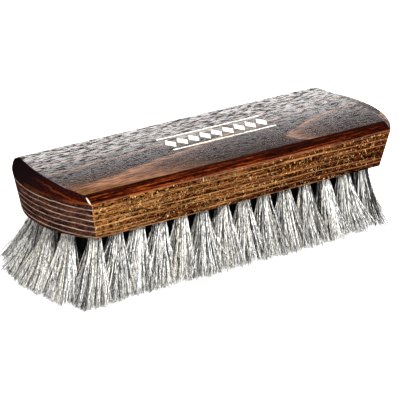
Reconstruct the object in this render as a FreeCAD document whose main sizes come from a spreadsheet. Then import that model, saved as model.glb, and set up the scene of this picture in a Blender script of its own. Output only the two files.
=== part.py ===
"""Shoe shine brush: a bevelled beech block with drilled tufts of horsehair.

Millimetres. +X runs along the block, +Y across it and +Z up. The brush stands on its
trimmed bristle tips, so the origin is in the tip plane under the middle of the block.
"""
import FreeCAD, Part
import math
import os
import Sketcher

doc = FreeCAD.newDocument("shoe_shine_brush")
sheet = doc.addObject("Spreadsheet::Sheet", "dims")

# Driving dimensions: alias, value, what it is
DIMENSIONS = [
    # The wooden block, outlined at its widest line, its top face and its underside
    ("block_length", 180.0, "length of the block at its widest line, over the curved ends"),
    ("block_width", 60.8, "width of the block at its widest line"),
    ("block_thickness", 19.5, "underside to top face"),
    ("end_sagitta", 12.4, "how far each curved end bows out at the widest line and the underside"),
    ("bevel_drop", 2.7, "height of the bevel between the top face and the widest line"),
    ("side_bevel", 5.2, "level width of the bevel along each long side"),
    ("end_bevel", 9.0, "level width of the bevel at the middle of each end"),
    ("top_end_sagitta", 2.3, "how far each end edge of the top face bows out"),
    ("side_draft", 2.05, "how far each long side leans in at the underside"),
    ("end_draft", 3.75, "how far each end leans in at the underside"),
    ("edge_round", 0.8, "radius on every outer edge of the block"),
    # The drilled field of tufts on the underside
    ("column_count", 14, "tufts along each row"),
    ("row_count", 5, "rows of tufts across the block"),
    ("side_margin", 7.35, "long side of the underside to the middle of the outer holes"),
    ("end_margin", 8.25, "end of the underside to the middle of the last holes"),
    ("field_sagitta", 8.0, "how much sooner an outer row stops at each end than the middle row"),
    ("hole_diameter", 5.0, "drilled hole for one tuft"),
    ("hole_depth", 10.5, "depth of a hole along its own axis"),
    # The hair
    ("bristle_height", 28.0, "underside of the block to the trimmed tips"),
    ("end_splay", 7.5, "how far the last tufts lean out along the block at their tips"),
    ("side_splay", 5.0, "how far the outer rows lean out across the block at their tips"),
    ("corner_splay", 2.0, "how much further across the four corner tufts lean out at their tips"),
    ("flare_height", 13.0, "depth under the block where a tuft has spread to its neighbours"),
    ("tuft_gap", 0.6, "space left between neighbouring tufts"),
    ("tuft_clearance", 0.1, "space between a tuft and the wall of its hole"),
    # The flat wire staple that holds each folded tuft
    ("anchor_length", 6.0, "across the hole, so that both ends bite into the wood"),
    ("anchor_width", 2.0, "along the hole"),
    ("anchor_thickness", 0.4, "gauge of the flat wire"),
    ("anchor_floor", 1.5, "room for the folded hair between the staple and the hole's end"),
    ("anchor_clearance", 0.05, "space round the staple"),
    ("cut_overrun", 3.0, "how far a cutting tool runs past the face it starts from"),
]

# A tuft is round in its hole and fills a rounded cell among its neighbours lower down:
# the share of each half side at which the corner of the cell stands.
ROUND_CORNER_SHARE = math.sqrt(0.5)
CELL_CORNER_SHARE = 0.8

# The higher this power, the sooner the extra lean of the corner tufts dies away along the rows.
CORNER_POWER = 8

UP = FreeCAD.Vector(0, 0, 1)


def fill_sheet():
    """Writes the driving dimensions into the sheet, one named cell each."""
    for line, (alias, value, meaning) in enumerate(DIMENSIONS, start=1):
        sheet.set(f"A{line}", meaning)
        sheet.set(f"B{line}", str(value))
        sheet.setAlias(f"B{line}", alias)
    doc.recompute()


def size(alias):
    """A driving dimension as a plain number."""
    return float(sheet.get(alias))


def bind(thing, **properties):
    """Ties each property of an object to an expression over the sheet."""
    for name, expression in properties.items():
        thing.setExpression(name, expression)


# The block


def outline_sketch(body, name, height, side_length, width, sagitta):
    """A level outline: two straight sides and two ends bowed outwards."""
    sketch = body.newObject("Sketcher::SketchObject", name)
    level = [plane for plane in body.Origin.OriginFeatures if plane.Role == "XY_Plane"][0]
    sketch.AttachmentSupport = [(level, "")]
    sketch.MapMode = "FlatFace"
    half_length = size("block_length") / 2
    half_side = half_length - size("end_sagitta")
    half_width = size("block_width") / 2
    front_left = FreeCAD.Vector(-half_side, -half_width, 0)
    front_right = FreeCAD.Vector(half_side, -half_width, 0)
    back_right = FreeCAD.Vector(half_side, half_width, 0)
    back_left = FreeCAD.Vector(-half_side, half_width, 0)
    right_tip = FreeCAD.Vector(half_length, 0, 0)
    left_tip = FreeCAD.Vector(-half_length, 0, 0)
    sketch.addGeometry(Part.LineSegment(front_left, front_right))
    sketch.addGeometry(Part.Arc(front_right, right_tip, back_right))
    sketch.addGeometry(Part.LineSegment(back_right, back_left))
    sketch.addGeometry(Part.Arc(back_left, left_tip, front_left))
    front, right, back, left = range(4)
    start, end = 1, 2
    x_axis, y_axis = -1, -2
    for edge, following in ((front, right), (right, back), (back, left), (left, front)):
        sketch.addConstraint(Sketcher.Constraint("Coincident", edge, end, following, start))
    sketch.addConstraint(Sketcher.Constraint("Symmetric", front, start, front, end, y_axis))
    sketch.addConstraint(Sketcher.Constraint("Symmetric", back, start, back, end, y_axis))
    sketch.addConstraint(Sketcher.Constraint("Symmetric", front, start, back, end, x_axis))
    radius = f"(({width}) / 2 * ({width}) / 2 + ({sagitta}) * ({sagitta})) / (2 * ({sagitta}))"
    measures = [
        ("side_length", Sketcher.Constraint("DistanceX", front, start, front, end, 2 * half_side), side_length),
        ("width", Sketcher.Constraint("DistanceY", right, start, right, end, 2 * half_width), width),
        ("right_radius", Sketcher.Constraint("Radius", right, half_length), radius),
        ("left_radius", Sketcher.Constraint("Radius", left, half_length), radius),
    ]
    for label, constraint, expression in measures:
        index = sketch.addConstraint(constraint)
        sketch.renameConstraint(index, label)
        sketch.setExpression(f"Constraints.{label}", expression)
    sketch.setExpression("AttachmentOffset.Base.z", height)
    return sketch


def block_form():
    """The block before drilling: a loft down from its top face, past its widest line, to its underside."""
    body = doc.addObject("PartDesign::Body", "block_form")
    straight = "dims.block_length - 2 * dims.end_sagitta"
    top = outline_sketch(
        body, "top_outline", "dims.bristle_height + dims.block_thickness",
        "dims.block_length - 2 * dims.end_bevel - 2 * dims.top_end_sagitta",
        "dims.block_width - 2 * dims.side_bevel", "dims.top_end_sagitta")
    widest = outline_sketch(
        body, "widest_outline", "dims.bristle_height + dims.block_thickness - dims.bevel_drop",
        straight, "dims.block_width", "dims.end_sagitta")
    underside = outline_sketch(
        body, "underside_outline", "dims.bristle_height", f"{straight} - 2 * dims.end_draft",
        "dims.block_width - 2 * dims.side_draft", "dims.end_sagitta")
    doc.recompute()
    loft = body.newObject("PartDesign::AdditiveLoft", "block_loft")
    loft.Profile = top
    loft.Sections = [widest, underside]
    loft.Ruled = True
    doc.recompute()
    rounded = body.newObject("PartDesign::Fillet", "block_edges")
    rounded.Base = (loft, [f"Edge{number}" for number in range(1, len(loft.Shape.Edges) + 1)])
    bind(rounded, Radius="dims.edge_round")
    body.Tip = rounded
    doc.recompute()
    return body


# Where each tuft stands


def spread(index, count):
    """Place of one of count evenly spaced things, from -1 at one end to 1 at the other."""
    return 2 * index / (count - 1) - 1


def row_half_length(row, depth):
    """Half the length of a row between its end tufts, at a depth under the block."""
    middle_row = size("block_length") / 2 - size("end_draft") - size("end_margin")
    bow = size("field_sagitta") * spread(row, rows) ** 2
    return middle_row - bow + size("end_splay") * depth / size("bristle_height")


def column_half_width(column, depth):
    """Half the distance between the outer tufts of a column, at a depth under the block."""
    outer_row = size("block_width") / 2 - size("side_draft") - size("side_margin")
    splay = size("side_splay") + size("corner_splay") * spread(column, columns) ** CORNER_POWER
    return outer_row + splay * depth / size("bristle_height")


def axis_point(column, row, depth):
    """The middle of a tuft at a depth under the block."""
    along = spread(column, columns) * row_half_length(row, depth)
    across = spread(row, rows) * column_half_width(column, depth)
    return FreeCAD.Vector(along, across, size("bristle_height") - depth)


def tuft_placement(column, row):
    """The frame of one tuft: its origin at the mouth of the hole, +Z along the hole into the wood."""
    mouth = axis_point(column, row, 0)
    tip = axis_point(column, row, size("bristle_height"))
    return FreeCAD.Placement(mouth, FreeCAD.Rotation(UP, mouth - tip))


def cell(column, row, depth):
    """Half the length and half the width that a tuft may fill at a depth under the block."""
    column_pitch = 2 * row_half_length(row, depth) / (columns - 1)
    row_pitch = 2 * column_half_width(column, depth) / (rows - 1)
    return (column_pitch - size("tuft_gap")) / 2, (row_pitch - size("tuft_gap")) / 2


# Drilling, staples and hair


def drilled_holes():
    """One cylinder for each hole, leaning with its tuft."""
    holes = []
    for column in range(columns):
        for row in range(rows):
            hole = doc.addObject("Part::Cylinder", f"hole_{column + 1:02d}_{row + 1}")
            bind(hole, Radius="dims.hole_diameter / 2", Height="dims.hole_depth + dims.cut_overrun")
            start = FreeCAD.Placement(FreeCAD.Vector(0, 0, -size("cut_overrun")), FreeCAD.Rotation())
            hole.Placement = tuft_placement(column, row).multiply(start)
            holes.append(hole)
    return holes


def staple(name, column, row, clearance):
    """A flat wire staple across one hole, or the slot for it when it has a clearance."""
    plate = doc.addObject("Part::Box", name)
    room = f"2 * ({clearance})"
    bind(plate, Length=f"dims.anchor_length + {room}", Width=f"dims.anchor_thickness + {room}",
         Height=f"dims.anchor_width + {room}")
    doc.recompute([plate])
    lift = size("hole_depth") - size("anchor_floor") - size("anchor_width") / 2
    corner = FreeCAD.Vector(-plate.Length.Value / 2, -plate.Width.Value / 2, lift - plate.Height.Value / 2)
    plate.Placement = tuft_placement(column, row).multiply(FreeCAD.Placement(corner, FreeCAD.Rotation()))
    return plate


def compound(name, members):
    """Separate pieces kept together under one name."""
    group = doc.addObject("Part::Compound", name)
    group.Links = members
    return group


def cut(name, base, tool):
    """The base with the tool taken away."""
    result = doc.addObject("Part::Cut", name)
    result.Base = base
    result.Tool = tool
    return result


def level_section(middle, half_length, half_width, corner_share):
    """A level closed outline of four arcs round a middle point."""
    corner_x = corner_share * half_length
    corner_y = corner_share * half_width

    def at(x, y):
        return middle + FreeCAD.Vector(x, y, 0)

    front = Part.Arc(at(-corner_x, -corner_y), at(0, -half_width), at(corner_x, -corner_y))
    right = Part.Arc(at(corner_x, -corner_y), at(half_length, 0), at(corner_x, corner_y))
    back = Part.Arc(at(corner_x, corner_y), at(0, half_width), at(-corner_x, corner_y))
    left = Part.Arc(at(-corner_x, corner_y), at(-half_length, 0), at(-corner_x, -corner_y))
    return Part.Wire([edge.toShape() for edge in (front, right, back, left)])


def tuft_solid(column, row, slot):
    """One tuft: a round shank in its hole, spreading below the block to level, trimmed tips."""
    placement = tuft_placement(column, row)
    radius = size("hole_diameter") / 2 - size("tuft_clearance")
    # The top of the shank is level, so it stops below the lower side of the hole's slanted end.
    lean = placement.Rotation.multVec(UP).getAngle(UP)
    shank_height = size("hole_depth") * math.cos(lean) - radius * math.sin(lean) - size("tuft_clearance")
    sections = []
    for depth in (-shank_height, 0):
        middle = axis_point(column, row, depth)
        sections.append(level_section(middle, radius, radius, ROUND_CORNER_SHARE))
    for depth in (size("flare_height"), size("bristle_height")):
        half_length, half_width = cell(column, row, depth)
        middle = axis_point(column, row, depth)
        sections.append(level_section(middle, half_length, half_width, CELL_CORNER_SHARE))
    return Part.makeLoft(sections, True, True).cut(slot.Shape)


def column_of_hair(column, slots):
    """The tufts of one column across the block."""
    hair = doc.addObject("Part::Feature", f"tuft_column_{column + 1:02d}")
    hair.Shape = Part.makeCompound([tuft_solid(column, row, slots[row]) for row in range(rows)])
    return hair


def check_document(nodes):
    """Stops if anything failed to build or a node is not whole, separate solids."""
    for thing in doc.Objects:
        if "Invalid" in thing.State or "Error" in thing.State:
            raise RuntimeError(f"{thing.Name} did not build: {thing.State}")
    for node, expected in nodes:
        if node.Shape.isNull() or not node.Shape.isValid():
            raise RuntimeError(f"{node.Label} has no valid shape")
        if len(node.Shape.Solids) != expected:
            raise RuntimeError(f"{node.Label} has {len(node.Shape.Solids)} solids, not {expected}")


fill_sheet()
columns = int(size("column_count"))
rows = int(size("row_count"))

form = block_form()
holes = drilled_holes()
slots = [[staple(f"slot_{column + 1:02d}_{row + 1}", column, row, "dims.anchor_clearance")
          for row in range(rows)] for column in range(columns)]
drilled = cut("drilled_block", form, compound("all_holes", holes))
block = cut("brush_block", drilled, compound("all_slots", sum(slots, [])))
anchors = []
for column in range(columns):
    staples = [staple(f"staple_{column + 1:02d}_{row + 1}", column, row, "0") for row in range(rows)]
    anchors.append(compound(f"anchor_column_{column + 1:02d}", staples))
doc.recompute()
tufts = [column_of_hair(column, slots[column]) for column in range(columns)]
doc.recompute()

nodes = [(block, 1)]
nodes += [(node, rows) for node in tufts + anchors]
check_document(nodes)
os.makedirs("parts", exist_ok=True)
for node, count in nodes:
    node.Shape.exportStep(f"parts/{node.Label}.step")
    print(node.Label, count, "solids", round(node.Shape.Volume), "mm3")
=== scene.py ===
"""Looks of a shoe shine brush: lacquered beech, horsehair strand by strand, in a plain studio.

Metres, in the frame of the solid model: +X along the block, +Z up, the bristle tips on z = 0. What is drawn
on the wood is in millimetres. Limits say where a mask starts to rise and where it is full, in either order,
and stops are the (place, value) pairs of a ramp. Colours are linear.
"""
import math
from collections import namedtuple

import bpy
import numpy as np
from mathutils import Matrix, Vector


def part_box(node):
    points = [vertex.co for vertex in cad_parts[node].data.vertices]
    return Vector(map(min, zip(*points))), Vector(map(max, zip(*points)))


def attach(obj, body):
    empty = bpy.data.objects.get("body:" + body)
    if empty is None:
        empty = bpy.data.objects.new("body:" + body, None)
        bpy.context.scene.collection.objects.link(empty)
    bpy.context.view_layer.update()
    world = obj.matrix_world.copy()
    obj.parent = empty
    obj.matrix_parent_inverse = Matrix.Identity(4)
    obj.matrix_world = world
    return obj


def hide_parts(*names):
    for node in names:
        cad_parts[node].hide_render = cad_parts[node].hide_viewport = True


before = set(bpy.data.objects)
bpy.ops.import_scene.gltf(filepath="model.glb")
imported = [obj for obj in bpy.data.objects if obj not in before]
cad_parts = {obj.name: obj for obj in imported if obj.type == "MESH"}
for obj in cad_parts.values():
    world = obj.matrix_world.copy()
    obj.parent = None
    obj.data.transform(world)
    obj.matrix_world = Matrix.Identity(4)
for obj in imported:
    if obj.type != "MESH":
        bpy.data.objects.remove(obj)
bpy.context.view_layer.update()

MM = 0.001

# Levels of the block in the solid model
BLOCK_LOW, BLOCK_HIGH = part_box("brush_block")
UNDERSIDE = BLOCK_LOW.z
TOP = BLOCK_HIGH.z
BEVEL_DROP = 2.7 * MM


def new_object(name, data):
    """An object with this data, in the scene."""
    thing = bpy.data.objects.new(name, data)
    bpy.context.scene.collection.objects.link(thing)
    return thing


# Shader nodes

# A noise: the size of its grains along x, y and z in millimetres, and the finer noise within them
Grain = namedtuple("Grain", "size detail roughness distortion", defaults=(3.0, 0.5, 0.0))
NOISE_MIDDLE = 0.5


def add(tree, kind, inputs=None, **settings):
    """Adds a node with its settings; an input given as a socket is linked, any other is set."""
    node = tree.nodes.new(kind)
    for name, value in settings.items():
        setattr(node, name, value)
    for key, value in (inputs or {}).items():
        socket = node.inputs[key]
        if isinstance(value, bpy.types.NodeSocket):
            tree.links.new(value, socket)
        elif socket.type == "RGBA":
            socket.default_value = (*value, 1.0)
        else:
            socket.default_value = value
    return node


def new_material(name, inputs=None):
    """A node material of one principled shader with these inputs."""
    material = bpy.data.materials.new(name)
    material.use_nodes = True
    tree = material.node_tree
    tree.nodes.clear()
    shader = add(tree, "ShaderNodeBsdfPrincipled", inputs)
    add(tree, "ShaderNodeOutputMaterial", {"Surface": shader.outputs["BSDF"]})
    return material, tree, shader


def calculate(tree, operation, *values):
    """One arithmetic step, as a socket."""
    return add(tree, "ShaderNodeMath", dict(enumerate(values)), operation=operation).outputs[0]


def vector_step(tree, operation, *vectors, output="Vector"):
    """One step of vector arithmetic, as a socket."""
    return add(tree, "ShaderNodeVectorMath", dict(enumerate(vectors)), operation=operation).outputs[output]


def product(tree, first, *others):
    """All the factors multiplied, as a socket."""
    for other in others:
        first = calculate(tree, "MULTIPLY", first, other)
    return first


def less(tree, mask, loss):
    """1 where the mask is 0, and less by the loss where the mask is 1, as a socket."""
    return calculate(tree, "MULTIPLY_ADD", mask, -loss, 1.0)


def distance_from(tree, source, centre):
    """How far a value lies from its centre on either side, as a socket."""
    return calculate(tree, "ABSOLUTE", calculate(tree, "SUBTRACT", source, centre))


def below(tree, source, limit):
    """1 where the source is under the limit, else 0, as a socket."""
    return calculate(tree, "LESS_THAN", source, limit)


def rise(tree, source, limits):
    """0 up to the first limit, 1 from the second on and a straight rise between, as a socket."""
    start, full = limits
    return add(tree, "ShaderNodeMapRange", {0: source, 1: start, 2: full}).outputs[0]


def ramp(tree, source, stops):
    """A grey ramp through its stops, as a socket."""
    node = add(tree, "ShaderNodeValToRGB", {"Fac": source})
    elements = node.color_ramp.elements
    while len(elements) < len(stops):
        elements.new(position=0.5)
    for element, (place, value) in zip(elements, stops):
        element.position = place
        element.color = (value, value, value, 1.0)
    return node.outputs["Color"]


def mix_colour(tree, share, first, second, blend="MIX"):
    """A mix of two colours, as a socket."""
    factor, colour_a, colour_b = 0, 6, 7
    inputs = {factor: share, colour_a: first, colour_b: second}
    return add(tree, "ShaderNodeMix", inputs, data_type="RGBA", blend_type=blend).outputs[2]


def axes_of(tree, place):
    """The x, y and z of a place, as sockets."""
    return add(tree, "ShaderNodeSeparateXYZ", {0: place}).outputs


def millimetres(tree):
    """The object's own coordinates in millimetres, as a socket."""
    inputs = {0: add(tree, "ShaderNodeTexCoord").outputs["Object"], "Scale": 1 / MM}
    return add(tree, "ShaderNodeVectorMath", inputs, operation="SCALE").outputs["Vector"]


def noise(tree, place, grain):
    """Noise of this grain, as a socket."""
    inputs = {
        "Vector": vector_step(tree, "DIVIDE", place, grain.size),
        "Scale": 1.0,
        "Detail": grain.detail,
        "Roughness": grain.roughness,
        "Distortion": grain.distortion,
    }
    return add(tree, "ShaderNodeTexNoise", inputs).outputs["Fac"]


def patches(tree, place, grain, limits):
    """A mask of noise that rises between its limits, as a socket."""
    return rise(tree, noise(tree, place, grain), limits)


def shades(tree, place, grain, stops):
    """A ramp of noise, as a socket."""
    return ramp(tree, noise(tree, place, grain), stops)


def speckled(tree, place, colour, grain, stops):
    """A colour times a ramp of noise, as a socket."""
    return mix_colour(tree, 1.0, colour, shades(tree, place, grain, stops), "MULTIPLY")


# Lacquered beech: the faces of the block, told apart by the share of the normal along an axis

Faces = namedtuple("Faces", "top side end bevel left_bevel right_bevel corner")

TOP_SLOPES = (0.972, 0.992)
SIDE_SLOPES = (0.80, 0.95)
END_SLOPES = (0.60, 0.70)
BEVEL_SLOPES = (0.4, 0.6)
RIGHT_SLOPES = (0.10, 0.20)
LEFT_SLOPES = (-0.10, -0.20)
OFF_SIDE_SLOPES = (0.12, 0.3)
OFF_END_SLOPES = (0.68, 0.55)
UPRIGHT_SLOPES = (0.5, 0.2)


def block_faces(tree):
    """Masks of the faces; the bevel at the right end counts as part of the top."""
    slope = axes_of(tree, add(tree, "ShaderNodeNewGeometry").outputs["Normal"])
    lengthwise = calculate(tree, "ABSOLUTE", slope["X"])
    top = rise(tree, slope["Z"], TOP_SLOPES)
    bevel = product(tree, rise(tree, slope["Z"], BEVEL_SLOPES), calculate(tree, "SUBTRACT", 1.0, top))
    right_bevel = product(tree, bevel, rise(tree, slope["X"], RIGHT_SLOPES))
    corner = product(
        tree,
        rise(tree, lengthwise, OFF_SIDE_SLOPES),
        rise(tree, lengthwise, OFF_END_SLOPES),
        rise(tree, slope["Z"], UPRIGHT_SLOPES),
    )
    return Faces(
        top=calculate(tree, "MAXIMUM", top, right_bevel),
        side=rise(tree, calculate(tree, "ABSOLUTE", slope["Y"]), SIDE_SLOPES),
        end=rise(tree, lengthwise, END_SLOPES),
        bevel=calculate(tree, "SUBTRACT", bevel, right_bevel),
        left_bevel=product(tree, bevel, rise(tree, slope["X"], LEFT_SLOPES)),
        right_bevel=right_bevel,
        corner=corner,
    )


# Growth lines on the flat top: nested flames that point to the left end

FLAME_AXIS = -18.4
FLAME_START = -81.0
FLAME_REACH = 110.4
FLAME_WIDTH = 20.5
FLAME_POWER = 1.8
FLAME_FRONT_STEEPNESS = 1.05
FLAME_WOBBLE_SHARE = 0.25
FLAME_WOBBLE_GRAIN = Grain((34.0, 7.0, 7.0), 4.0, 0.55)


def flames(tree, place):
    """Where a point of the flat top lies across its growth layer, 0 to 1."""
    axes = axes_of(tree, place)
    off_axis = calculate(tree, "SUBTRACT", axes["Y"], FLAME_AXIS)
    in_front = calculate(tree, "MULTIPLY", off_axis, -FLAME_FRONT_STEEPNESS)
    across = calculate(tree, "DIVIDE", calculate(tree, "MAXIMUM", off_axis, in_front), FLAME_WIDTH)
    along = calculate(tree, "DIVIDE", calculate(tree, "SUBTRACT", axes["X"], FLAME_START), FLAME_REACH)
    along = calculate(tree, "POWER", calculate(tree, "MAXIMUM", along, 0.0), FLAME_POWER)
    layer = calculate(tree, "SUBTRACT", product(tree, across, across), along)
    wobble = calculate(tree, "SUBTRACT", noise(tree, place, FLAME_WOBBLE_GRAIN), NOISE_MIDDLE)
    return calculate(tree, "FRACT", calculate(tree, "MULTIPLY_ADD", wobble, FLAME_WOBBLE_SHARE, layer))


# Growth layers on the upright faces: nearly level, bowed over a pith far below, with a pale line in each

PITH = (0.0, 2.0, -210.0)
CROSS_SECTION = (0.0, 1.0, 1.0)
LAYER_PITCH = 2.7
LAYER_SWELL = 5.0
LAYER_SWELL_GRAIN = Grain((80.0, 240.0, 240.0), 0.6)
LAYER_RIPPLE = 1.2
LAYER_RIPPLE_GRAIN = Grain((24.0, 6.0, 4.0))
LINE_STOPS = ((0.0, 0.7), (0.05, 1.0), (0.16, 0.0), (0.94, 0.0), (1.0, 0.7))


def level_layers(tree, place):
    """Where a point of an upright face lies across its growth layer, 0 to 1."""
    section = vector_step(tree, "MULTIPLY", place, CROSS_SECTION)
    radius = vector_step(tree, "DISTANCE", section, PITH, output="Value")
    for grain, depth in ((LAYER_SWELL_GRAIN, LAYER_SWELL), (LAYER_RIPPLE_GRAIN, LAYER_RIPPLE)):
        radius = calculate(tree, "MULTIPLY_ADD", noise(tree, place, grain), depth, radius)
    return calculate(tree, "FRACT", calculate(tree, "DIVIDE", radius, LAYER_PITCH))


# The stamped border on the flat top

INK_CREAM = (0.66, 0.61, 0.49)
BORDER_CENTRE_X = 8.0
BORDER_CENTRE_Y = 3.0
BORDER_HALF_LENGTH = 27.0
RULE_OFFSET = 6.6
RULE_WIDTH = 0.9
LOZENGE_PITCH = 6.0
LOZENGE_HALF_WIDTH = 2.6
LOZENGE_HALF_HEIGHT = 4.2
INK_WEAR_GRAIN = Grain((1.5, 0.7, 1.0), 3.0, 0.7)
INK_WEAR_LIMITS = (0.38, 0.47)


def stamped_border(tree, place):
    """Two rules with a row of lozenges between them, rubbed thin in places."""
    axes = axes_of(tree, place)
    along = calculate(tree, "SUBTRACT", axes["X"], BORDER_CENTRE_X)
    across = distance_from(tree, axes["Y"], BORDER_CENTRE_Y)
    within = below(tree, calculate(tree, "ABSOLUTE", along), BORDER_HALF_LENGTH)
    rule = below(tree, distance_from(tree, across, RULE_OFFSET), RULE_WIDTH / 2)
    step = calculate(tree, "PINGPONG", along, LOZENGE_PITCH / 2)
    slant = calculate(tree, "MULTIPLY_ADD", across, LOZENGE_HALF_WIDTH / LOZENGE_HALF_HEIGHT, step)
    lozenge = below(tree, slant, LOZENGE_HALF_WIDTH)
    worn = patches(tree, place, INK_WEAR_GRAIN, INK_WEAR_LIMITS)
    return product(tree, calculate(tree, "MAXIMUM", rule, lozenge), within, worn)


# The flat top

TOP_DARK = (0.009, 0.0055, 0.005)
TOP_BROWN = (0.019, 0.0092, 0.008)
TOP_TAN = (0.195, 0.098, 0.060)
TOP_AMBER = (0.30, 0.105, 0.018)
TOP_BLOTCH_GRAIN = Grain((12.0, 1.4, 1.0), 4.0, 0.65)
TOP_BLOTCH_LIMITS = (0.38, 0.62)
TOP_FIBRE_GRAIN = Grain((14.0, 0.8, 0.8), 3.0, 0.6)
TOP_FIBRE_STOPS = ((0.35, 0.45), (0.65, 1.0))
TOP_FLAME_STOPS = ((0.0, 0.0), (0.55, 0.0), (0.8, 0.14), (0.96, 0.85), (1.0, 0.0))
TOP_AMBER_SHARE = 0.45
WARM_X_LIMITS = (-5.0, -80.0)
WARM_Y_LIMITS = (-8.0, -24.0)


def warm_corner(tree, place):
    """The front left part of the top, where the finish is rubbed thin and the wood is warmer."""
    axes = axes_of(tree, place)
    return product(tree, rise(tree, axes["X"], WARM_X_LIMITS), rise(tree, axes["Y"], WARM_Y_LIMITS))


def top_colour(tree, place, warm):
    """Dark stain with pale flames: each layer is tan along its outer edge and fades inward."""
    blotch = patches(tree, place, TOP_BLOTCH_GRAIN, TOP_BLOTCH_LIMITS)
    colour = mix_colour(tree, blotch, TOP_DARK, TOP_BROWN)
    fading = ramp(tree, flames(tree, place), TOP_FLAME_STOPS)
    fibre = shades(tree, place, TOP_FIBRE_GRAIN, TOP_FIBRE_STOPS)
    colour = mix_colour(tree, product(tree, fading, fibre), colour, TOP_TAN)
    return mix_colour(tree, product(tree, warm, fibre, TOP_AMBER_SHARE), colour, TOP_AMBER)


# The long sides

SIDE_DARK = (0.020, 0.0042, 0.0018)
SIDE_BROWN = (0.042, 0.0080, 0.0026)
SIDE_GOLD = (0.176, 0.067, 0.0160)
SIDE_RUSSET = (0.60, 0.44, 0.40)
LINE_GOLD = (0.48, 0.260, 0.100)
FLECK_GOLD = (0.62, 0.400, 0.160)
SIDE_HEIGHT_LIMITS = (UNDERSIDE / MM, TOP / MM)
SIDE_HEIGHT_STOPS = ((0.0, 0.0), (0.25, 0.25), (0.55, 0.4), (0.8, 0.3), (1.0, 0.1))
SIDE_LAYER_STOPS = ((0.0, 0.0), (0.45, 0.1), (0.95, 0.55))
SIDE_LEFT_LIMITS = (100.0, -90.0)
SIDE_LEFT_SHARE = 0.55
SIDE_PATCH_GRAIN = Grain((30.0, 6.0, 3.0), 4.0, 0.6)
SIDE_PATCH_LIMITS = (0.3, 0.7)
SIDE_PATCH_SHARE = 0.9
SIDE_GOLD_START = -0.85
SIDE_STREAK_GRAIN = Grain((34.0, 2.0, 1.1), 4.0, 0.65, 0.3)
DARK_STREAK_LIMITS = (0.49, 0.37)
DARK_STREAK_SHARE = 0.9
PALE_STREAK_LIMITS = (0.57, 0.68)
PALE_STREAK_SHARE = 0.5
SIDE_SPECKLE_GRAIN = Grain((2.2, 0.9, 0.7), 2.0, 0.7)
SIDE_SPECKLE_STOPS = ((0.43, 0.04), (0.60, 1.1))
SIDE_LINE_GRAIN = Grain((52.0, 9.0, 2.4), 2.0)
SIDE_LINE_LIMITS = (0.34, 0.62)
SIDE_LINE_SHARE = 0.6
SIDE_RIGHT_LIMITS = (-70.0, 60.0)
RAY_GRAIN = Grain((0.8, 0.6, 1.25), 2.0, 0.6, 1.2)
RAY_LIMITS = (0.60, 0.70)
RAY_CROWD_GRAIN = Grain((13.0, 9.0, 4.0), 2.0)
RAY_CROWD_STOPS = ((0.36, 0.1), (0.62, 0.8))


def side_colour(tree, place, layer, line):
    """Layers that run from red-brown to gold under pale lines, golder to the left, with flecks of rays."""
    axes = axes_of(tree, place)
    gold = patches(tree, place, SIDE_PATCH_GRAIN, SIDE_PATCH_LIMITS)
    gold = calculate(tree, "MULTIPLY_ADD", gold, SIDE_PATCH_SHARE, SIDE_GOLD_START)
    gold = calculate(tree, "MULTIPLY_ADD", rise(tree, axes["X"], SIDE_LEFT_LIMITS), SIDE_LEFT_SHARE, gold)
    belt = ramp(tree, rise(tree, axes["Z"], SIDE_HEIGHT_LIMITS), SIDE_HEIGHT_STOPS)
    for more in (belt, ramp(tree, layer, SIDE_LAYER_STOPS)):
        gold = calculate(tree, "ADD", gold, more)
    colour = mix_colour(tree, gold, SIDE_BROWN, SIDE_GOLD)
    streak = noise(tree, place, SIDE_STREAK_GRAIN)
    dark = product(tree, rise(tree, streak, DARK_STREAK_LIMITS), DARK_STREAK_SHARE)
    colour = mix_colour(tree, dark, colour, SIDE_DARK)
    colour = speckled(tree, place, colour, SIDE_SPECKLE_GRAIN, SIDE_SPECKLE_STOPS)
    pale = product(tree, rise(tree, streak, PALE_STREAK_LIMITS), PALE_STREAK_SHARE)
    colour = mix_colour(tree, pale, colour, LINE_GOLD)
    lively = patches(tree, place, SIDE_LINE_GRAIN, SIDE_LINE_LIMITS)
    colour = mix_colour(tree, product(tree, line, lively, SIDE_LINE_SHARE), colour, LINE_GOLD)
    colour = mix_colour(tree, rise(tree, axes["X"], SIDE_RIGHT_LIMITS), colour, SIDE_RUSSET, "MULTIPLY")
    ray = patches(tree, place, RAY_GRAIN, RAY_LIMITS)
    crowd = shades(tree, place, RAY_CROWD_GRAIN, RAY_CROWD_STOPS)
    return mix_colour(tree, product(tree, ray, crowd), colour, FLECK_GOLD)


# The bevel round the top

STAIN_BLACK = (0.006, 0.0012, 0.0006)
STAIN_RED = (0.042, 0.0028, 0.0008)
STAIN_ORANGE = (0.17, 0.037, 0.0054)
END_BEVEL_BLACK = (0.0036, 0.0016, 0.0018)
BEVEL_STREAK_GRAIN = Grain((22.0, 1.1, 0.5), 5.0, 0.72)
BEVEL_LEFT_LIMITS = (80.0, -80.0)
BEVEL_LEFT_STOPS = ((0.0, 0.0), (0.5, 0.75), (1.0, 0.9))
RED_STREAK_LIMITS = (0.42, 0.58)
RED_LEFT_SHARE = 0.5
RED_SHARE = 0.55
ORANGE_STREAK_LIMITS = (0.52, 0.64)
BEVEL_SPECKLE_GRAIN = Grain((2.4, 0.8, 0.6), 2.0, 0.7)
BEVEL_SPECKLE_STOPS = ((0.40, 0.3), (0.58, 1.0))
# Painted shade: the bevel turns black just under the top edge
UPPER_EDGE_SHADE_DROPS = (1.1 * MM, 0.3 * MM)
UPPER_EDGE_SHADE_LIMITS = tuple((TOP - drop) / MM for drop in UPPER_EDGE_SHADE_DROPS)
UPPER_EDGE_SHADE_SHARE = 0.8
END_BEVEL_FRONT_LIMITS = (6.0, -26.0)
END_BEVEL_GRAIN = Grain((1.0, 1.0, 0.8), 3.0, 0.7)
END_BEVEL_LIMITS = (0.46, 0.62)
END_BEVEL_RED_SHARE = 0.8
END_BEVEL_LINE_SHARE = 0.5


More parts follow.
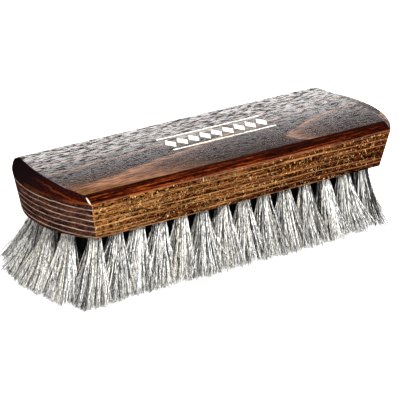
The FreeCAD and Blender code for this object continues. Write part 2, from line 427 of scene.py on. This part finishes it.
def bevel_colour(tree, place, left_bevel, line):
    """Black, red and orange streaks, darker to the right, with painted shade along the top edge.

    The left end's bevel is black, and toward the front it is mottled red with growth lines.
    """
    axes = axes_of(tree, place)
    streak = noise(tree, place, BEVEL_STREAK_GRAIN)
    leftward = ramp(tree, rise(tree, axes["X"], BEVEL_LEFT_LIMITS), BEVEL_LEFT_STOPS)
    redness = calculate(tree, "MULTIPLY_ADD", leftward, RED_LEFT_SHARE, RED_SHARE)
    red = product(tree, rise(tree, streak, RED_STREAK_LIMITS), redness)
    colour = mix_colour(tree, red, STAIN_BLACK, STAIN_RED)
    orange = product(tree, rise(tree, streak, ORANGE_STREAK_LIMITS), leftward)
    colour = mix_colour(tree, orange, colour, STAIN_ORANGE)
    colour = speckled(tree, place, colour, BEVEL_SPECKLE_GRAIN, BEVEL_SPECKLE_STOPS)
    # Painted shade along the top edge of the bevel.
    top_edge_shade = product(tree, rise(tree, axes["Z"], UPPER_EDGE_SHADE_LIMITS), UPPER_EDGE_SHADE_SHARE)
    colour = mix_colour(tree, top_edge_shade, colour, STAIN_BLACK)
    forward = rise(tree, axes["Y"], END_BEVEL_FRONT_LIMITS)
    mottle = patches(tree, place, END_BEVEL_GRAIN, END_BEVEL_LIMITS)
    dark_red = product(tree, mottle, forward, END_BEVEL_RED_SHARE)
    dark = mix_colour(tree, dark_red, END_BEVEL_BLACK, STAIN_RED)
    thin_line = product(tree, line, line, line, forward, END_BEVEL_LINE_SHARE)
    dark = mix_colour(tree, thin_line, dark, STAIN_ORANGE)
    return mix_colour(tree, left_bevel, colour, dark)


# The ends

END_DARK = (0.009, 0.0042, 0.0036)
END_BROWN = (0.064, 0.0245, 0.0145)
END_PALE = (0.42, 0.290, 0.230)
END_BLOTCH_GRAIN = Grain((5.0, 9.0, 3.0), 4.0, 0.6)
END_BLOTCH_LIMITS = (0.35, 0.65)
END_SPECKLE_GRAIN = Grain((0.9, 1.1, 0.8), 3.0, 0.7)
END_SPECKLE_STOPS = ((0.40, 0.25), (0.62, 1.5))
END_LINE_GRAIN = Grain((6.0, 14.0, 2.0), 4.0, 0.6)
END_LINE_LIMITS = (0.32, 0.58)


def end_colour(tree, place, line):
    """End grain: dark brown with broken pale growth lines."""
    blotch = patches(tree, place, END_BLOTCH_GRAIN, END_BLOTCH_LIMITS)
    colour = mix_colour(tree, blotch, END_DARK, END_BROWN)
    colour = speckled(tree, place, colour, END_SPECKLE_GRAIN, END_SPECKLE_STOPS)
    broken = patches(tree, place, END_LINE_GRAIN, END_LINE_LIMITS)
    return mix_colour(tree, product(tree, line, broken), colour, END_PALE)


# Wear on the edges, and painted highlights on the corners

RUBBED_REACH_LIMITS = (0.5, 0.15)
RUBBED_GRAIN = Grain((14.0, 10.0, 2.0))
RUBBED_STOPS = ((0.38, 0.0), (0.62, 0.5))
RUBBED_FRONT_LIMITS = (12.0, -14.0)
# A painted highlight on the front left mitre, pale where the light would glint
HIGHLIGHT_PALE = (0.62, 0.48, 0.34)
HIGHLIGHT_PLACE = (-78.0, -28.4, 46.0)
HIGHLIGHT_REACH = (0.38, 2.8, 1.8)
HIGHLIGHT_LIMITS = (1.0, 0.5)
# How much painted highlight gold lies on the rounded upright corner edges
UPRIGHT_CORNER_HIGHLIGHT_SHARE = 0.2


def rubbed_edge(tree, place):
    """Where the widest line of the block is rubbed to lighter wood, patchily, and only toward the front."""
    axes = axes_of(tree, place)
    off_edge = distance_from(tree, axes["Z"], (TOP - BEVEL_DROP) / MM)
    patchy = shades(tree, place, RUBBED_GRAIN, RUBBED_STOPS)
    forward = rise(tree, axes["Y"], RUBBED_FRONT_LIMITS)
    return product(tree, rise(tree, off_edge, RUBBED_REACH_LIMITS), patchy, forward)


def painted_corner_highlight(tree, place):
    """A painted highlight on the short mitred edge at the front left corner of the top: pale where the
    glossy edge would catch the light.
    """
    off = vector_step(tree, "SUBTRACT", place, HIGHLIGHT_PLACE)
    scaled = vector_step(tree, "DIVIDE", off, HIGHLIGHT_REACH)
    return rise(tree, vector_step(tree, "LENGTH", scaled, output="Value"), HIGHLIGHT_LIMITS)


# Pores, lacquer and relief

PORE_BLACK = (0.005, 0.003, 0.002)
PORE_SHARE = 0.85
PORE_GRAIN = Grain((4.6, 0.8, 0.6), 3.0, 0.6)
PORE_LIMITS = (0.48, 0.56)
PORE_BACK_LIMITS = (-30.0, 30.0)
PORE_BACK_STOPS = ((0.1, 0.6), (0.8, 1.0))
LONG_BEVEL_LIMITS = (0.8, 1.0)
LONG_BEVEL_FILM_SHARE = 0.25
PORE_FILM_LOSS_SHARE = 0.95
RIGHT_BEVEL_FILM_LOSS_SHARE = 0.6
INK_FILM_LOSS_SHARE = 0.8
WARM_FILM_LOSS_SHARE = 0.45
FILM_ROUGHNESS = 0.17
CROWN_RADIUS = 340.0
PORE_DEPTH = 0.015
LINE_HEIGHT = 0.05


def open_pores(tree, place, top):
    """Pores cut flat on the top: dashes along the grain that no lacquer fills, stronger to the back."""
    dash = patches(tree, place, PORE_GRAIN, PORE_LIMITS)
    backward = rise(tree, axes_of(tree, place)["Y"], PORE_BACK_LIMITS)
    return product(tree, dash, ramp(tree, backward, PORE_BACK_STOPS), top)


def lacquer_film(tree, faces, pores, ink, warm):
    """Weight of the gloss: full on the top, thin on the long bevels, lost where it is broken or rubbed."""
    long_bevel = rise(tree, calculate(tree, "SUBTRACT", faces.bevel, faces.left_bevel), LONG_BEVEL_LIMITS)
    covered = calculate(tree, "MULTIPLY_ADD", long_bevel, LONG_BEVEL_FILM_SHARE, faces.top)
    film = product(tree, less(tree, pores, PORE_FILM_LOSS_SHARE), covered)
    losses = (
        (faces.right_bevel, RIGHT_BEVEL_FILM_LOSS_SHARE),
        (ink, INK_FILM_LOSS_SHARE),
        (warm, WARM_FILM_LOSS_SHARE),
    )
    for mask, loss in losses:
        film = product(tree, film, less(tree, mask, loss))
    return film


def wood_relief(tree, place, faces, line, pores):
    """Height in millimetres: sunken pores, raised layer lines and the slight crown of the sanded top."""
    across = axes_of(tree, place)["Y"]
    height = calculate(tree, "DIVIDE", product(tree, across, across), -2 * CROWN_RADIUS)
    height = calculate(tree, "MULTIPLY_ADD", pores, -PORE_DEPTH, height)
    upright = calculate(tree, "MAXIMUM", faces.side, faces.end)
    return calculate(tree, "MULTIPLY_ADD", product(tree, line, upright), LINE_HEIGHT, height)


def beech_material():
    """Flat-sawn beech under dark stain and gloss lacquer."""
    constants = {"Specular IOR Level": 0.0, "Coat Roughness": FILM_ROUGHNESS}
    material, tree, shader = new_material("stained_beech", constants)
    place = millimetres(tree)
    faces = block_faces(tree)
    layer = level_layers(tree, place)
    line = ramp(tree, layer, LINE_STOPS)
    warm = warm_corner(tree, place)
    pores = open_pores(tree, place, faces.top)
    ink = product(tree, stamped_border(tree, place), faces.top)
    # Each colour is laid over those before it.
    finishes = (
        (faces.top, top_colour(tree, place, warm)),
        (faces.end, end_colour(tree, place, line)),
        (faces.bevel, bevel_colour(tree, place, faces.left_bevel, line)),
        # Painted highlight: a faint gold line on the rounded upright corner edges, where they would catch
        # the light.
        (product(tree, faces.corner, UPRIGHT_CORNER_HIGHLIGHT_SHARE), LINE_GOLD),
        (rubbed_edge(tree, place), STAIN_ORANGE),
        # Painted highlight on the front left mitre.
        (painted_corner_highlight(tree, place), HIGHLIGHT_PALE),
        (product(tree, pores, PORE_SHARE), PORE_BLACK),
        (ink, INK_CREAM),
    )
    colour = side_colour(tree, place, layer, line)
    for mask, finish in finishes:
        colour = mix_colour(tree, mask, colour, finish)
    tree.links.new(colour, shader.inputs["Base Color"])
    tree.links.new(lacquer_film(tree, faces, pores, ink, warm), shader.inputs["Coat Weight"])
    relief = wood_relief(tree, place, faces, line, pores)
    bump = add(tree, "ShaderNodeBump", {"Height": relief, "Strength": 1.0, "Distance": MM})
    for name in ("Normal", "Coat Normal"):
        tree.links.new(bump.outputs["Normal"], shader.inputs[name])
    return material


# Horsehair: the drilled field of tufts, as in the solid model

COLUMNS = sum(name.startswith("tuft_column_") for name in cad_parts)
ROWS = 5
FIELD_HALF_LENGTH = 78.0 * MM
FIELD_HALF_WIDTH = 21.0 * MM
FIELD_SAGITTA = 8.0 * MM
END_SPLAY = 7.5 * MM
SIDE_SPLAY = 5.0 * MM
CORNER_SPLAY = 2.0 * MM
CORNER_POWER = 8
ROOT_RADIUS = 2.3 * MM

# Strands go in wisps, and each is a tapered tube that starts inside its hole
WISPS_PER_TUFT = 200
STRANDS_PER_WISP = 2
WISP_RADIUS = 0.14 * MM
WISP_ROOT_SHARE = 0.6
RINGS = 12
SIDES = 3
HAIR_RADIUS = 0.15 * MM
RADIUS_SCATTER_SHARE = 0.15
RADIUS_SHARES = (0.6, 1.5)
TAPER_SHARE = 0.45
TAPER_POWER = 2
HIDDEN_ROOT = 2.5 * MM
ROOT_LEVEL = UNDERSIDE + HIDDEN_ROOT
SEED = 7

# The flat spread of a tuft's tips
HAIR_END_LEAN = 6.5 * MM
TIP_SWEEP = np.array([-3.0, -2.0]) * MM
CORNER_SWEEP = np.array([2.0, 8.0]) * MM
CORNER_SWEEP_POWER = 4
OVERLAP_SHARE = 1.5
END_SCATTER_SHARE = 0.1
OUTLINE_SHARES = (0.6, 0.8)
GATHER_SHARE = 0.75
LOCKS_PER_TUFT = 28
LOCK_PULL_SHARE = 0.25

# The run of a strand from its root to its tip; each tuft is trimmed at a level of its own
STRAIGHT_LEAN_SHARE = 0.5
CURVE_POWER = 2
SPREAD_POWER = 1.3
BEND = 1.1 * MM
FLYAWAY_SHARE = 0.03
FLYAWAY_FACTOR = 3.5
WAVE = 0.35 * MM
WAVE_RADIANS = (5, 12)
CRINKLE = 0.16 * MM
CRINKLE_POWER = 0.5
TIP_SCATTER = 0.6 * MM
TIP_SCATTER_LIMIT = 3.0 * MM
TRIM_MILLIMETRES = (0.05, 0.5)

# Natural horsehair: the colour of each kind of strand and its share of the bundle
HAIR_KINDS = {
    "white": ((0.97, 0.957, 0.91), 0.57),
    "cream": ((0.82, 0.77, 0.64), 0.14),
    "grey": ((0.30, 0.287, 0.27), 0.04),
    "brown": ((0.08, 0.064, 0.050), 0.05),
    "black": ((0.006, 0.006, 0.006), 0.20),
}
TUFT_TINT_SHARES = (0.85, 1.0)
STRAND_TINT_SHARES = (0.7, 1.1)
INNER_ROOT_SHARE = 0.03
SHADED_LENGTH_SHARES = (0.5, 0.85)
# Grain and stops of the painted shade along each strand, standing in for shadows where strands cross
HAIR_CROSSING_SHADE_GRAIN = Grain((0.5, 0.5, 5.0), 2.0, 0.6)
HAIR_CROSSING_SHADE_STOPS = ((0.38, 0.10), (0.55, 1.0))
HAIR_ROUGHNESS = 0.38
HAIR_SPECULAR = 0.5

# Each strand has a square cell of the UV map, with a margin
UV_CELL_SHARE = 0.8
UV_MARGIN_SHARE = 0.1


def horsehair_material():
    """Each strand keeps the tint it was made with, broken by darker lengths of painted shade where crossing
    strands would shadow it.
    """
    constants = {"Roughness": HAIR_ROUGHNESS, "Specular IOR Level": HAIR_SPECULAR}
    material, tree, shader = new_material("horsehair", constants)
    tint = add(tree, "ShaderNodeVertexColor", layer_name="hair_tint").outputs["Color"]
    # Painted shade: darker lengths along each strand, in place of the shadows where strands cross.
    colour = speckled(tree, millimetres(tree), tint, HAIR_CROSSING_SHADE_GRAIN, HAIR_CROSSING_SHADE_STOPS)
    tree.links.new(colour, shader.inputs["Base Color"])
    return material


def spread(index, count):
    """Place of one of count evenly spaced things, from -1 at one end to 1 at the other."""
    return 2 * index / (count - 1) - 1


def tuft_place(column, row):
    """Seen flat: a tuft's root, its hair's lean, half the pitch of the tips and the outline of all tips."""
    along = spread(column, COLUMNS)
    across = spread(row, ROWS)
    half_length = FIELD_HALF_LENGTH - FIELD_SAGITTA * across ** 2
    side_splay = SIDE_SPLAY + CORNER_SPLAY * along ** CORNER_POWER
    root = np.array([along * half_length, across * FIELD_HALF_WIDTH])
    lean = np.array([along * HAIR_END_LEAN, across * side_splay]) + TIP_SWEEP
    # The hair at the front right corner is brushed back.
    lean += CORNER_SWEEP * max(along, 0) ** CORNER_SWEEP_POWER * (1 - across) / 2
    half_width = FIELD_HALF_WIDTH + side_splay
    half_pitch = np.array([half_length + END_SPLAY, half_width]) / (COLUMNS - 1, ROWS - 1)
    outline = np.array([half_length + HAIR_END_LEAN, half_width]) + half_pitch * OUTLINE_SHARES
    return root, lean, half_pitch, outline


def wisp_ends(rng, middle, half_pitch, outline):
    """Seen flat: where each wisp starts, from its tuft's root, and ends, from the middle of the tips."""
    count = WISPS_PER_TUFT
    turn = rng.uniform(0, 2 * math.pi, count)
    unit = np.stack([np.cos(turn), np.sin(turn)], 1)
    reach = np.sqrt(rng.uniform(0, 1, count))[:, None]
    start = unit * reach * ROOT_RADIUS
    squared = unit / np.sqrt(np.abs(unit).max(1))[:, None]
    end = squared * reach * half_pitch * OVERLAP_SHARE * rng.normal(1.0, END_SCATTER_SHARE, (count, 1))
    # Neighbours overlap, but strands that would spread past the outline gather there.
    tips = middle + end - TIP_SWEEP
    end -= np.sign(tips) * GATHER_SHARE * np.maximum(np.abs(tips) - outline, 0)
    # Tips gather into small locks.
    lock_middles = end[rng.choice(count, LOCKS_PER_TUFT, replace=False)]
    nearest = np.linalg.norm(end[:, None] - lock_middles[None], axis=2).argmin(1)
    end += LOCK_PULL_SHARE * (lock_middles[nearest] - end)
    return start, end


def tuft_paths(rng, column, row):
    """Centre lines of one tuft's strands, as strand, ring and xyz, wisp after wisp."""
    count = WISPS_PER_TUFT
    root, lean, half_pitch, outline = tuft_place(column, row)
    start, end = wisp_ends(rng, root + lean, half_pitch, outline)
    bend = rng.normal(0, BEND, (count, 2))
    bend[rng.uniform(0, 1, count) < FLYAWAY_SHARE] *= FLYAWAY_FACTOR
    tip = np.minimum(rng.exponential(TIP_SCATTER, count), TIP_SCATTER_LIMIT)
    tip = tip + rng.uniform(*TRIM_MILLIMETRES) * MM
    height = ROOT_LEVEL - np.linspace(0, 1, RINGS)[None] * (ROOT_LEVEL - tip[:, None])
    depth = ((UNDERSIDE - height) / UNDERSIDE)[..., None]
    under = np.clip(depth, 0, 1)
    lean_share = STRAIGHT_LEAN_SHARE * depth + (1 - STRAIGHT_LEAN_SHARE) * under ** CURVE_POWER
    flat = root + lean * lean_share + start[:, None]
    flat = flat + (end - start)[:, None] * under ** SPREAD_POWER + bend[:, None] * under ** CURVE_POWER
    phase = rng.uniform(0, 2 * math.pi, (count, 1, 2))
    flat = flat + WAVE * under * np.sin(rng.uniform(*WAVE_RADIANS, (count, 1, 1)) * under + phase)
    flat = flat + rng.normal(0, CRINKLE, flat.shape) * under ** CRINKLE_POWER
    paths = np.repeat(np.concatenate([flat, height[..., None]], 2), STRANDS_PER_WISP, 0)
    parting = rng.normal(0, WISP_RADIUS, (len(paths), 1, 2))
    paths[..., :2] += parting * (WISP_ROOT_SHARE + np.repeat(under, STRANDS_PER_WISP, 0))
    return paths


def strand_tints(rng, column, row):
    """A colour for each ring of each strand of a tuft; the strands of a wisp are of one kind."""
    colours, shares = (np.array(values) for values in zip(*HAIR_KINDS.values()))
    kind = rng.choice(len(HAIR_KINDS), WISPS_PER_TUFT, p=shares / shares.sum())
    kind = np.repeat(kind, STRANDS_PER_WISP)
    strands = colours[kind] * rng.uniform(*TUFT_TINT_SHARES)
    strands = strands * rng.uniform(*STRAND_TINT_SHARES, (len(kind), 1))
    # Inside the field the hair darkens toward the block, where hardly any light falls.
    inside = 0 < column < COLUMNS - 1 and 0 < row < ROWS - 1
    root_share = INNER_ROOT_SHARE if inside else 1.0
    shade = np.interp(np.linspace(0, 1, RINGS), SHADED_LENGTH_SHARES, (root_share, 1.0))
    return (strands[:, None] * shade[None, :, None]).clip(0, 1)


def tube_points(paths, radii):
    """Corners of the rings round the centre lines, as strand, ring, corner and xyz."""
    axis = paths[:, -1] - paths[:, 0]
    axis /= np.linalg.norm(axis, axis=1, keepdims=True)
    side = np.cross(axis, (1.0, 0.0, 0.0))
    side /= np.linalg.norm(side, axis=1, keepdims=True)
    other = np.cross(axis, side)
    angle = (2 * math.pi * np.arange(SIDES) / SIDES)[None, :, None]
    around = side[:, None, :] * np.cos(angle) + other[:, None, :] * np.sin(angle)
    return paths[:, :, None, :] + radii[:, :, None, None] * around[:, None, :, :]


def tube_faces():
    """Faces of one closed tube: their corners in a row, the size of each and the corners' UV in a cell."""
    ring, corner = np.meshgrid(np.arange(RINGS - 1), np.arange(SIDES), indexing="ij")
    following = (corner + 1) % SIDES
    quads = np.stack([ring * SIDES + corner, ring * SIDES + following,
                      (ring + 1) * SIDES + following, (ring + 1) * SIDES + corner], -1).reshape(-1, 4)
    cap = np.arange(SIDES)
    corners = np.concatenate([quads.ravel(), cap[::-1], (RINGS - 1) * SIDES + cap])
    sizes = np.concatenate([np.full(len(quads), quads.shape[1]), [SIDES, SIDES]])
    quad_u = np.stack([corner, corner + 1, corner + 1, corner], -1).reshape(-1) / SIDES
    quad_v = np.stack([ring, ring, ring + 1, ring + 1], -1).reshape(-1) / (RINGS - 1)
    places = np.stack([np.concatenate([quad_u, cap / SIDES, cap / SIDES]),
                       np.concatenate([quad_v, np.zeros(SIDES), np.ones(SIDES)])], 1)
    return corners, sizes, places * UV_CELL_SHARE + UV_MARGIN_SHARE


def strand_mesh(name, paths, radii, tints):
    """One mesh of closed tubes, each with its tints and its own cell of the UV map."""
    count = len(paths)
    corners, sizes, places = tube_faces()
    points = tube_points(paths, radii)
    loops = (np.arange(count)[:, None] * RINGS * SIDES + corners[None]).ravel()
    totals = np.tile(sizes, count)
    starts = np.concatenate([[0], np.cumsum(totals)[:-1]])
    mesh = bpy.data.meshes.new(name)
    mesh.vertices.add(count * RINGS * SIDES)
    mesh.vertices.foreach_set("co", points.astype(np.float32).ravel())
    mesh.loops.add(len(loops))
    mesh.loops.foreach_set("vertex_index", loops.astype(np.int32))
    mesh.polygons.add(len(totals))
    mesh.polygons.foreach_set("loop_start", starts.astype(np.int32))
    mesh.polygons.foreach_set("use_smooth", np.ones(len(totals), bool))
    mesh.update()
    rgb = np.repeat(tints.reshape(-1, 3), SIDES, 0)
    rgba = np.concatenate([rgb, np.ones((len(rgb), 1))], 1)
    colour = mesh.color_attributes.new("hair_tint", "FLOAT_COLOR", "POINT")
    colour.data.foreach_set("color", rgba.astype(np.float32).ravel())
    per_side = math.ceil(math.sqrt(count))
    cells = np.stack([np.arange(count) % per_side, np.arange(count) // per_side], 1)
    uv = (cells[:, None] + places[None]) / per_side
    mesh.uv_layers.new(name="OFBake").data.foreach_set("uv", uv.astype(np.float32).ravel())
    return mesh


def hair_column(column, material):
    """The strands of one column of tufts, which stand for its solids."""
    rng = np.random.default_rng((SEED, column))
    paths = np.concatenate([tuft_paths(rng, column, row) for row in range(ROWS)])
    tints = np.concatenate([strand_tints(rng, column, row) for row in range(ROWS)])
    taper = 1 - TAPER_SHARE * np.linspace(0, 1, RINGS) ** TAPER_POWER
    thickness = rng.normal(1.0, RADIUS_SCATTER_SHARE, (len(paths), 1)).clip(*RADIUS_SHARES)
    node = f"tuft_column_{column + 1:02d}"
    mesh = strand_mesh(f"hair_{column + 1:02d}", paths, HAIR_RADIUS * thickness * taper[None], tints)
    mesh.materials.append(material)
    piece = new_object(mesh.name, mesh)
    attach(piece, "root")
    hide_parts(node)


# Staples, deep in their holes

ZINC_DARK = (0.42, 0.43, 0.44)
ZINC_PALE = (0.66, 0.67, 0.68)
ZINC_GRAIN = Grain((4.0, 0.2, 0.2), 2.0)
ZINC_ROUGHNESS_STOPS = ((0.3, 0.28), (0.7, 0.48))


def staple_material():
    """Zinc-coated flat wire with a faint drawn grain."""
    material, tree, shader = new_material("zinc_wire", {"Metallic": 1.0})
    drawn = noise(tree, millimetres(tree), ZINC_GRAIN)
    tree.links.new(mix_colour(tree, drawn, ZINC_DARK, ZINC_PALE), shader.inputs["Base Color"])
    tree.links.new(ramp(tree, drawn, ZINC_ROUGHNESS_STOPS), shader.inputs["Roughness"])
    return material


def paint(node, material):
    """Gives a solid of the frame its finish."""
    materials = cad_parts[node].data.materials
    materials.clear()
    materials.append(material)


# Studio

FLOOR_HALF_WIDTH = 4.0
FLOOR_GREY = (0.72, 0.72, 0.72)
FLOOR_ROUGHNESS = 0.9
SKY_STOPS = ((0.0, 0.35), (0.30, 0.35), (0.5, 0.06), (1.0, 0.05))

# The photographed view
CAMERA_AZIMUTH = -35.37
CAMERA_ELEVATION = 22.73
CAMERA_ROLL = 1.0
CAMERA_DISTANCE = 1187.8 * MM
CAMERA_TARGET = Vector((-2.29, 0.0, 19.27)) * MM
FRAME_PIXELS = 400
FOCAL_PIXELS = 2741.0
SENSOR_WIDTH = 36.0


def plain_floor():
    """A wide pale floor under the bristle tips."""
    half = FLOOR_HALF_WIDTH
    corners = [(-half, -half, 0), (half, -half, 0), (half, half, 0), (-half, half, 0)]
    mesh = bpy.data.meshes.new("floor")
    mesh.from_pydata(corners, [], [(0, 1, 2, 3)])
    constants = {"Base Color": FLOOR_GREY, "Roughness": FLOOR_ROUGHNESS, "Specular IOR Level": 0.0}
    material, _, _ = new_material("pale_floor", constants)
    mesh.materials.append(material)
    floor = new_object("floor", mesh)


def direction(azimuth, elevation):
    """A way from the brush, by angles in radians; azimuth 0 is the front, and it grows to the right."""
    level = math.cos(elevation)
    return Vector((math.sin(azimuth) * level, -math.cos(azimuth) * level, math.sin(elevation)))


def soft_box(name, azimuth, elevation, distance, size, brightness):
    """A soft box aimed at the brush; brightness is how it lights a white card that faces it."""
    toward = direction(math.radians(azimuth), math.radians(elevation))
    light = bpy.data.lights.new(name, "AREA")
    light.shape = "RECTANGLE"
    light.size, light.size_y = size
    light.energy = brightness * (math.pi * distance) ** 2
    lamp = new_object(name, light)
    lamp.location = toward * distance + Vector((0, 0, TOP))
    lamp.rotation_euler = (-toward).to_track_quat("-Z", "Y").to_euler()
    lamp.visible_camera = False


def studio():
    """A surround, pale low down and dark overhead, with soft boxes in front, at the right and behind."""
    world = bpy.data.worlds.new("studio")
    world.use_nodes = True
    tree = world.node_tree
    tree.nodes.clear()
    height = axes_of(tree, add(tree, "ShaderNodeTexCoord").outputs["Generated"])["Z"]
    sky = add(tree, "ShaderNodeBackground", {"Color": ramp(tree, height, SKY_STOPS), "Strength": 1.0})
    add(tree, "ShaderNodeOutputWorld", {"Surface": sky.outputs["Background"]})
    bpy.context.scene.world = world
    bpy.context.scene.view_settings.view_transform = "Standard"
    soft_box("key", azimuth=-6.0, elevation=42.0, distance=2.4, size=(1.3, 0.9), brightness=2.15)
    soft_box("right fill", azimuth=34.0, elevation=40.0, distance=2.0, size=(1.0, 0.8), brightness=1.1)
    soft_box("back wash", azimuth=172.0, elevation=50.0, distance=2.2, size=(1.2, 0.8), brightness=1.75)
    soft_box("sheen", azimuth=144.0, elevation=14.5, distance=1.05, size=(1.3, 0.22), brightness=0.35)


def photographed_view():
    """The camera of the photograph."""
    azimuth = math.radians(CAMERA_AZIMUTH)
    roll = math.radians(CAMERA_ROLL)
    back = direction(azimuth, math.radians(CAMERA_ELEVATION))
    level_right = Vector((math.cos(azimuth), math.sin(azimuth), 0.0))
    level_up = back.cross(level_right)
    right = math.cos(roll) * level_right + math.sin(roll) * level_up
    up = math.cos(roll) * level_up - math.sin(roll) * level_right
    data = bpy.data.cameras.new("camera")
    data.sensor_fit = "HORIZONTAL"
    data.sensor_width = SENSOR_WIDTH
    data.lens = FOCAL_PIXELS / FRAME_PIXELS * SENSOR_WIDTH
    camera = new_object("camera", data)
    turn = Matrix((right, up, back)).transposed().to_4x4()
    camera.matrix_world = Matrix.Translation(CAMERA_TARGET + back * CAMERA_DISTANCE) @ turn
    bpy.context.scene.camera = camera


paint("brush_block", beech_material())
wire = staple_material()
hair = horsehair_material()
for number in range(COLUMNS):
    paint(f"anchor_column_{number + 1:02d}", wire)
    hair_column(number, hair)
plain_floor()
studio()
photographed_view()
